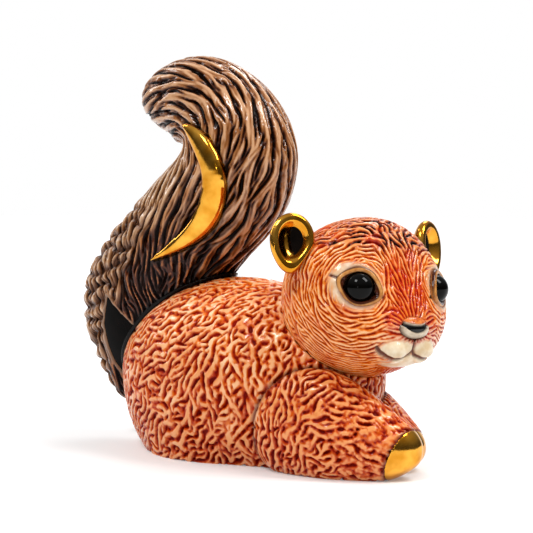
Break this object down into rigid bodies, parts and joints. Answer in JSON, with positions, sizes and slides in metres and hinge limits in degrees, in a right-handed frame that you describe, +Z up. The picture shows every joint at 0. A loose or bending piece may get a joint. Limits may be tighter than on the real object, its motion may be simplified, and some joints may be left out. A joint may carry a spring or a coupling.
{
  "type": "squirrel figurine",
  "caption": "Glazed ceramic squirrel lying on its belly, with a plume tail that stands over its back, set-in eyes and gilded ears, paws and tail crescents.",
  "frame": {"origin": "under the middle of the figure's length and width, on the surface it stands on", "axes": "+X the way the squirrel faces, +Y its left, +Z up; its head is turned a little to -Y"},
  "size_m": [0.0995, 0.0458, 0.0917],
  "materials": {
    "fur_glaze": "gloss",
    "tail_glaze": "gloss",
    "gilding": "gloss",
    "black_enamel": "gloss",
    "eye_glass": "gloss",
    "lid_glaze": "gloss",
    "nose_glaze": "gloss"
  },
  "bodies": {
    "root": {"body_shell": "fur_glaze", "head_shell": "fur_glaze", "right_foreleg": "fur_glaze", "left_foreleg": "fur_glaze", "tail_shell": "tail_glaze", "tail_seam": "black_enamel", "right_tail_panel": "black_enamel", "left_tail_panel": "black_enamel", "right_tail_crescent": "gilding", "left_tail_crescent": "gilding", "right_paw_tip": "gilding", "left_paw_tip": "gilding", "right_ear": "gilding", "left_ear": "gilding", "right_ear_lining": "black_enamel", "left_ear_lining": "black_enamel", "right_eye": "eye_glass", "left_eye": "eye_glass", "right_eyelid": "lid_glaze", "left_eyelid": "lid_glaze", "nose_pad": "nose_glaze"}
  },
  "joints": []
}
